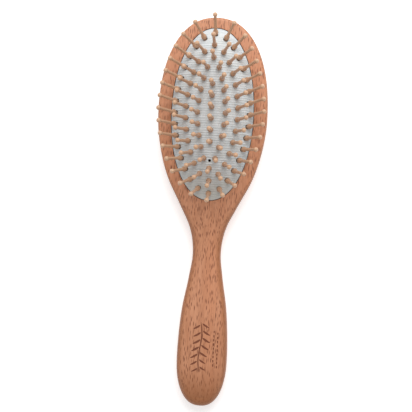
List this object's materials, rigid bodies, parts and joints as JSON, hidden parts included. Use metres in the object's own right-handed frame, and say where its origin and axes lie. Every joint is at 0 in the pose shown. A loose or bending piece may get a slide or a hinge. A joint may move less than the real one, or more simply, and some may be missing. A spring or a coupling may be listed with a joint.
{
  "type": "oval cushion brush",
  "caption": "Oval cushion brush: a flat wooden head and waisted handle with a domed rubber cushion set in the face, carrying rings of ball-tipped wooden pins.",
  "frame": {"origin": "centre of the head's oval, on the flat back face that the brush rests on", "axes": "+Z the way the pins stand, +Y from the handle to the top of the head, +X to the right when seen from the pin side"},
  "size_m": [0.0632, 0.225, 0.0383],
  "materials": {
    "beech": "satin",
    "cushion_rubber": "matte",
    "pin_wood": "satin"
  },
  "bodies": {
    "brush_body": {"brush_body": "beech", "cushion": "cushion_rubber"},
    "crest_pin_1": {"crest_pin_1": "pin_wood"},
    "crest_pin_2": {"crest_pin_2": "pin_wood"},
    "crest_pin_3": {"crest_pin_3": "pin_wood"},
    "crest_pin_4": {"crest_pin_4": "pin_wood"},
    "crest_pin_5": {"crest_pin_5": "pin_wood"},
    "crest_pin_6": {"crest_pin_6": "pin_wood"},
    "inner_pin_1": {"inner_pin_1": "pin_wood"},
    "inner_pin_2": {"inner_pin_2": "pin_wood"},
    "inner_pin_3": {"inner_pin_3": "pin_wood"},
    "inner_pin_4": {"inner_pin_4": "pin_wood"},
    "inner_pin_5": {"inner_pin_5": "pin_wood"},
    "inner_pin_6": {"inner_pin_6": "pin_wood"},
    "inner_pin_7": {"inner_pin_7": "pin_wood"},
    "inner_pin_8": {"inner_pin_8": "pin_wood"},
    "inner_pin_9": {"inner_pin_9": "pin_wood"},
    "inner_pin_10": {"inner_pin_10": "pin_wood"},
    "inner_pin_11": {"inner_pin_11": "pin_wood"},
    "inner_pin_12": {"inner_pin_12": "pin_wood"},
    "inner_pin_13": {"inner_pin_13": "pin_wood"},
    "inner_pin_14": {"inner_pin_14": "pin_wood"},
    "inner_pin_15": {"inner_pin_15": "pin_wood"},
    "inner_pin_16": {"inner_pin_16": "pin_wood"},
    "inner_pin_17": {"inner_pin_17": "pin_wood"},
    "inner_pin_18": {"inner_pin_18": "pin_wood"},
    "inner_pin_19": {"inner_pin_19": "pin_wood"},
    "inner_pin_20": {"inner_pin_20": "pin_wood"},
    "middle_pin_1": {"middle_pin_1": "pin_wood"},
    "middle_pin_2": {"middle_pin_2": "pin_wood"},
    "middle_pin_3": {"middle_pin_3": "pin_wood"},
    "middle_pin_4": {"middle_pin_4": "pin_wood"},
    "middle_pin_5": {"middle_pin_5": "pin_wood"},
    "middle_pin_6": {"middle_pin_6": "pin_wood"},
    "middle_pin_7": {"middle_pin_7": "pin_wood"},
    "middle_pin_8": {"middle_pin_8": "pin_wood"},
    "middle_pin_9": {"middle_pin_9": "pin_wood"},
    "middle_pin_10": {"middle_pin_10": "pin_wood"},
    "middle_pin_11": {"middle_pin_11": "pin_wood"},
    "middle_pin_12": {"middle_pin_12": "pin_wood"},
    "middle_pin_13": {"middle_pin_13": "pin_wood"},
    "middle_pin_14": {"middle_pin_14": "pin_wood"},
    "middle_pin_15": {"middle_pin_15": "pin_wood"},
    "middle_pin_16": {"middle_pin_16": "pin_wood"},
    "middle_pin_17": {"middle_pin_17": "pin_wood"},
    "middle_pin_18": {"middle_pin_18": "pin_wood"},
    "middle_pin_19": {"middle_pin_19": "pin_wood"},
    "middle_pin_20": {"middle_pin_20": "pin_wood"},
    "middle_pin_21": {"middle_pin_21": "pin_wood"},
    "middle_pin_22": {"middle_pin_22": "pin_wood"},
    "middle_pin_23": {"middle_pin_23": "pin_wood"},
    "middle_pin_24": {"middle_pin_24": "pin_wood"},
    "middle_pin_25": {"middle_pin_25": "pin_wood"},
    "middle_pin_26": {"middle_pin_26": "pin_wood"},
    "outer_pins_1": {"outer_pins_1": "pin_wood"},
    "outer_pins_2": {"outer_pins_2": "pin_wood"},
    "outer_pins_3": {"outer_pins_3": "pin_wood"},
    "outer_pins_4": {"outer_pins_4": "pin_wood"}
  },
  "joints": [
    {"name": "cushion_press", "type": "slide", "parent": "brush_body", "child": "crest_pin_3", "axis": [0, 0, -1], "range_m": [0, 0.003], "stiffness_N_per_m": 3000, "deforming": ["cushion"]},
    {"name": "crest_pin_1_sink", "type": "slide", "parent": "brush_body", "child": "crest_pin_1", "axis": [0, 0, -1], "range_m": [0, 0.00285]},
    {"name": "crest_pin_2_sink", "type": "slide", "parent": "brush_body", "child": "crest_pin_2", "axis": [0, 0, -1], "range_m": [0, 0.00296]},
    {"name": "crest_pin_4_sink", "type": "slide", "parent": "brush_body", "child": "crest_pin_4", "axis": [0, 0, -1], "range_m": [0, 0.003]},
    {"name": "crest_pin_5_sink", "type": "slide", "parent": "brush_body", "child": "crest_pin_5", "axis": [0, 0, -1], "range_m": [0, 0.003]},
    {"name": "crest_pin_6_sink", "type": "slide", "parent": "brush_body", "child": "crest_pin_6", "axis": [0, 0, -1], "range_m": [0, 0.003]},
    {"name": "inner_pin_1_sink", "type": "slide", "parent": "brush_body", "child": "inner_pin_1", "axis": [0, 0, -1], "range_m": [0, 0.00287]},
    {"name": "inner_pin_2_sink", "type": "slide", "parent": "brush_body", "child": "inner_pin_2", "axis": [0, 0, -1], "range_m": [0, 0.0029]},
    {"name": "inner_pin_3_sink", "type": "slide", "parent": "brush_body", "child": "inner_pin_3", "axis": [0, 0, -1], "range_m": [0, 0.00288]},
    {"name": "inner_pin_4_sink", "type": "slide", "parent": "brush_body", "child": "inner_pin_4", "axis": [0, 0, -1], "range_m": [0, 0.00285]},
    {"name": "inner_pin_5_sink", "type": "slide", "parent": "brush_body", "child": "inner_pin_5", "axis": [0, 0, -1], "range_m": [0, 0.00282]},
    {"name": "inner_pin_6_sink", "type": "slide", "parent": "brush_body", "child": "inner_pin_6", "axis": [0, 0, -1], "range_m": [0, 0.0028]},
    {"name": "inner_pin_7_sink", "type": "slide", "parent": "brush_body", "child": "inner_pin_7", "axis": [0, 0, -1], "range_m": [0, 0.0028]},
    {"name": "inner_pin_8_sink", "type": "slide", "parent": "brush_body", "child": "inner_pin_8", "axis": [0, 0, -1], "range_m": [0, 0.00276]},
    {"name": "inner_pin_9_sink", "type": "slide", "parent": "brush_body", "child": "inner_pin_9", "axis": [0, 0, -1], "range_m": [0, 0.00265]},
    {"name": "inner_pin_10_sink", "type": "slide", "parent": "brush_body", "child": "inner_pin_10", "axis": [0, 0, -1], "range_m": [0, 0.00245]},
    {"name": "inner_pin_11_sink", "type": "slide", "parent": "brush_body", "child": "inner_pin_11", "axis": [0, 0, -1], "range_m": [0, 0.00214]},
    {"name": "inner_pin_12_sink", "type": "slide", "parent": "brush_body", "child": "inner_pin_12", "axis": [0, 0, -1], "range_m": [0, 0.00245]},
    {"name": "inner_pin_13_sink", "type": "slide", "parent": "brush_body", "child": "inner_pin_13", "axis": [0, 0, -1], "range_m": [0, 0.00265]},
    {"name": "inner_pin_14_sink", "type": "slide", "parent": "brush_body", "child": "inner_pin_14", "axis": [0, 0, -1], "range_m": [0, 0.00276]},
    {"name": "inner_pin_15_sink", "type": "slide", "parent": "brush_body", "child": "inner_pin_15", "axis": [0, 0, -1], "range_m": [0, 0.0028]},
    {"name": "inner_pin_16_sink", "type": "slide", "parent": "brush_body", "child": "inner_pin_16", "axis": [0, 0, -1], "range_m": [0, 0.0028]},
    {"name": "inner_pin_17_sink", "type": "slide", "parent": "brush_body", "child": "inner_pin_17", "axis": [0, 0, -1], "range_m": [0, 0.00282]},
    {"name": "inner_pin_18_sink", "type": "slide", "parent": "brush_body", "child": "inner_pin_18", "axis": [0, 0, -1], "range_m": [0, 0.00285]},
    {"name": "inner_pin_19_sink", "type": "slide", "parent": "brush_body", "child": "inner_pin_19", "axis": [0, 0, -1], "range_m": [0, 0.00288]},
    {"name": "inner_pin_20_sink", "type": "slide", "parent": "brush_body", "child": "inner_pin_20", "axis": [0, 0, -1], "range_m": [0, 0.0029]},
    {"name": "middle_pin_1_sink", "type": "slide", "parent": "brush_body", "child": "middle_pin_1", "axis": [0, 0, -1], "range_m": [0, 0.00249]},
    {"name": "middle_pin_2_sink", "type": "slide", "parent": "brush_body", "child": "middle_pin_2", "axis": [0, 0, -1], "range_m": [0, 0.00249]},
    {"name": "middle_pin_3_sink", "type": "slide", "parent": "brush_body", "child": "middle_pin_3", "axis": [0, 0, -1], "range_m": [0, 0.00241]},
    {"name": "middle_pin_4_sink", "type": "slide", "parent": "brush_body", "child": "middle_pin_4", "axis": [0, 0, -1], "range_m": [0, 0.00231]},
    {"name": "middle_pin_5_sink", "type": "slide", "parent": "brush_body", "child": "middle_pin_5", "axis": [0, 0, -1], "range_m": [0, 0.00223]},
    {"name": "middle_pin_6_sink", "type": "slide", "parent": "brush_body", "child": "middle_pin_6", "axis": [0, 0, -1], "range_m": [0, 0.00215]},
    {"name": "middle_pin_7_sink", "type": "slide", "parent": "brush_body", "child": "middle_pin_7", "axis": [0, 0, -1], "range_m": [0, 0.0021]},
    {"name": "middle_pin_8_sink", "type": "slide", "parent": "brush_body", "child": "middle_pin_8", "axis": [0, 0, -1], "range_m": [0, 0.00209]},
    {"name": "middle_pin_9_sink", "type": "slide", "parent": "brush_body", "child": "middle_pin_9", "axis": [0, 0, -1], "range_m": [0, 0.00211]},
    {"name": "middle_pin_10_sink", "type": "slide", "parent": "brush_body", "child": "middle_pin_10", "axis": [0, 0, -1], "range_m": [0, 0.00211]},
    {"name": "middle_pin_11_sink", "type": "slide", "parent": "brush_body", "child": "middle_pin_11", "axis": [0, 0, -1], "range_m": [0, 0.00206]},
    {"name": "middle_pin_12_sink", "type": "slide", "parent": "brush_body", "child": "middle_pin_12", "axis": [0, 0, -1], "range_m": [0, 0.00194]},
    {"name": "middle_pin_13_sink", "type": "slide", "parent": "brush_body", "child": "middle_pin_13", "axis": [0, 0, -1], "range_m": [0, 0.00174]},
    {"name": "middle_pin_14_sink", "type": "slide", "parent": "brush_body", "child": "middle_pin_14", "axis": [0, 0, -1], "range_m": [0, 0.00152]},
    {"name": "middle_pin_15_sink", "type": "slide", "parent": "brush_body", "child": "middle_pin_15", "axis": [0, 0, -1], "range_m": [0, 0.00174]},
    {"name": "middle_pin_16_sink", "type": "slide", "parent": "brush_body", "child": "middle_pin_16", "axis": [0, 0, -1], "range_m": [0, 0.00194]},
    {"name": "middle_pin_17_sink", "type": "slide", "parent": "brush_body", "child": "middle_pin_17", "axis": [0, 0, -1], "range_m": [0, 0.00206]},
    {"name": "middle_pin_18_sink", "type": "slide", "parent": "brush_body", "child": "middle_pin_18", "axis": [0, 0, -1], "range_m": [0, 0.00211]},
    {"name": "middle_pin_19_sink", "type": "slide", "parent": "brush_body", "child": "middle_pin_19", "axis": [0, 0, -1], "range_m": [0, 0.00211]},
    {"name": "middle_pin_20_sink", "type": "slide", "parent": "brush_body", "child": "middle_pin_20", "axis": [0, 0, -1], "range_m": [0, 0.00209]},
    {"name": "middle_pin_21_sink", "type": "slide", "parent": "brush_body", "child": "middle_pin_21", "axis": [0, 0, -1], "range_m": [0, 0.0021]},
    {"name": "middle_pin_22_sink", "type": "slide", "parent": "brush_body", "child": "middle_pin_22", "axis": [0, 0, -1], "range_m": [0, 0.00215]},
    {"name": "middle_pin_23_sink", "type": "slide", "parent": "brush_body", "child": "middle_pin_23", "axis": [0, 0, -1], "range_m": [0, 0.00223]},
    {"name": "middle_pin_24_sink", "type": "slide", "parent": "brush_body", "child": "middle_pin_24", "axis": [0, 0, -1], "range_m": [0, 0.00231]},
    {"name": "middle_pin_25_sink", "type": "slide", "parent": "brush_body", "child": "middle_pin_25", "axis": [0, 0, -1], "range_m": [0, 0.00241]},
    {"name": "middle_pin_26_sink", "type": "slide", "parent": "brush_body", "child": "middle_pin_26", "axis": [0, 0, -1], "range_m": [0, 0.00249]},
    {"name": "outer_pins_1_sink", "type": "slide", "parent": "brush_body", "child": "outer_pins_1", "axis": [0, 0, -1], "range_m": [0, 0.00115]},
    {"name": "outer_pins_2_sink", "type": "slide", "parent": "brush_body", "child": "outer_pins_2", "axis": [0, 0, -1], "range_m": [0, 0.000854]},
    {"name": "outer_pins_3_sink", "type": "slide", "parent": "brush_body", "child": "outer_pins_3", "axis": [0, 0, -1], "range_m": [0, 0.000845]},
    {"name": "outer_pins_4_sink", "type": "slide", "parent": "brush_body", "child": "outer_pins_4", "axis": [0, 0, -1], "range_m": [0, 0.00107]}
  ],
  "couplings": [
    {"joint": "crest_pin_1_sink", "follows": "cushion_press", "ratio": 0.9503},
    {"joint": "crest_pin_2_sink", "follows": "cushion_press", "ratio": 0.9875},
    {"joint": "crest_pin_4_sink", "follows": "cushion_press", "ratio": 1},
    {"joint": "crest_pin_5_sink", "follows": "cushion_press", "ratio": 1},
    {"joint": "crest_pin_6_sink", "follows": "cushion_press", "ratio": 0.9995},
    {"joint": "inner_pin_1_sink", "follows": "cushion_press", "ratio": 0.9568},
    {"joint": "inner_pin_2_sink", "follows": "cushion_press", "ratio": 0.9654},
    {"joint": "inner_pin_3_sink", "follows": "cushion_press", "ratio": 0.9584},
    {"joint": "inner_pin_4_sink", "follows": "cushion_press", "ratio": 0.9489},
    {"joint": "inner_pin_5_sink", "follows": "cushion_press", "ratio": 0.939},
    {"joint": "inner_pin_6_sink", "follows": "cushion_press", "ratio": 0.9316},
    {"joint": "inner_pin_7_sink", "follows": "cushion_press", "ratio": 0.932},
    {"joint": "inner_pin_8_sink", "follows": "cushion_press", "ratio": 0.9186},
    {"joint": "inner_pin_9_sink", "follows": "cushion_press", "ratio": 0.8829},
    {"joint": "inner_pin_10_sink", "follows": "cushion_press", "ratio": 0.8149},
    {"joint": "inner_pin_11_sink", "follows": "cushion_press", "ratio": 0.7128},
    {"joint": "inner_pin_12_sink", "follows": "cushion_press", "ratio": 0.8149},
    {"joint": "inner_pin_13_sink", "follows": "cushion_press", "ratio": 0.8829},
    {"joint": "inner_pin_14_sink", "follows": "cushion_press", "ratio": 0.9186},
    {"joint": "inner_pin_15_sink", "follows": "cushion_press", "ratio": 0.932},
    {"joint": "inner_pin_16_sink", "follows": "cushion_press", "ratio": 0.9316},
    {"joint": "inner_pin_17_sink", "follows": "cushion_press", "ratio": 0.939},
    {"joint": "inner_pin_18_sink", "follows": "cushion_press", "ratio": 0.9489},
    {"joint": "inner_pin_19_sink", "follows": "cushion_press", "ratio": 0.9584},
    {"joint": "inner_pin_20_sink", "follows": "cushion_press", "ratio": 0.9654},
    {"joint": "middle_pin_1_sink", "follows": "cushion_press", "ratio": 0.8309},
    {"joint": "middle_pin_2_sink", "follows": "cushion_press", "ratio": 0.8304},
    {"joint": "middle_pin_3_sink", "follows": "cushion_press", "ratio": 0.802},
    {"joint": "middle_pin_4_sink", "follows": "cushion_press", "ratio": 0.7714},
    {"joint": "middle_pin_5_sink", "follows": "cushion_press", "ratio": 0.7428},
    {"joint": "middle_pin_6_sink", "follows": "cushion_press", "ratio": 0.7178},
    {"joint": "middle_pin_7_sink", "follows": "cushion_press", "ratio": 0.699},
    {"joint": "middle_pin_8_sink", "follows": "cushion_press", "ratio": 0.6977},
    {"joint": "middle_pin_9_sink", "follows": "cushion_press", "ratio": 0.7043},
    {"joint": "middle_pin_10_sink", "follows": "cushion_press", "ratio": 0.7022},
    {"joint": "middle_pin_11_sink", "follows": "cushion_press", "ratio": 0.6851},
    {"joint": "middle_pin_12_sink", "follows": "cushion_press", "ratio": 0.6469},
    {"joint": "middle_pin_13_sink", "follows": "cushion_press", "ratio": 0.5813},
    {"joint": "middle_pin_14_sink", "follows": "cushion_press", "ratio": 0.5062},
    {"joint": "middle_pin_15_sink", "follows": "cushion_press", "ratio": 0.5813},
    {"joint": "middle_pin_16_sink", "follows": "cushion_press", "ratio": 0.6469},
    {"joint": "middle_pin_17_sink", "follows": "cushion_press", "ratio": 0.6851},
    {"joint": "middle_pin_18_sink", "follows": "cushion_press", "ratio": 0.7022},
    {"joint": "middle_pin_19_sink", "follows": "cushion_press", "ratio": 0.7043},
    {"joint": "middle_pin_20_sink", "follows": "cushion_press", "ratio": 0.6977},
    {"joint": "middle_pin_21_sink", "follows": "cushion_press", "ratio": 0.699},
    {"joint": "middle_pin_22_sink", "follows": "cushion_press", "ratio": 0.7178},
    {"joint": "middle_pin_23_sink", "follows": "cushion_press", "ratio": 0.7428},
    {"joint": "middle_pin_24_sink", "follows": "cushion_press", "ratio": 0.7714},
    {"joint": "middle_pin_25_sink", "follows": "cushion_press", "ratio": 0.802},
    {"joint": "middle_pin_26_sink", "follows": "cushion_press", "ratio": 0.8304},
    {"joint": "outer_pins_1_sink", "follows": "cushion_press", "ratio": 0.3831},
    {"joint": "outer_pins_2_sink", "follows": "cushion_press", "ratio": 0.2845},
    {"joint": "outer_pins_3_sink", "follows": "cushion_press", "ratio": 0.2816},
    {"joint": "outer_pins_4_sink", "follows": "cushion_press", "ratio": 0.3559}
  ]
}
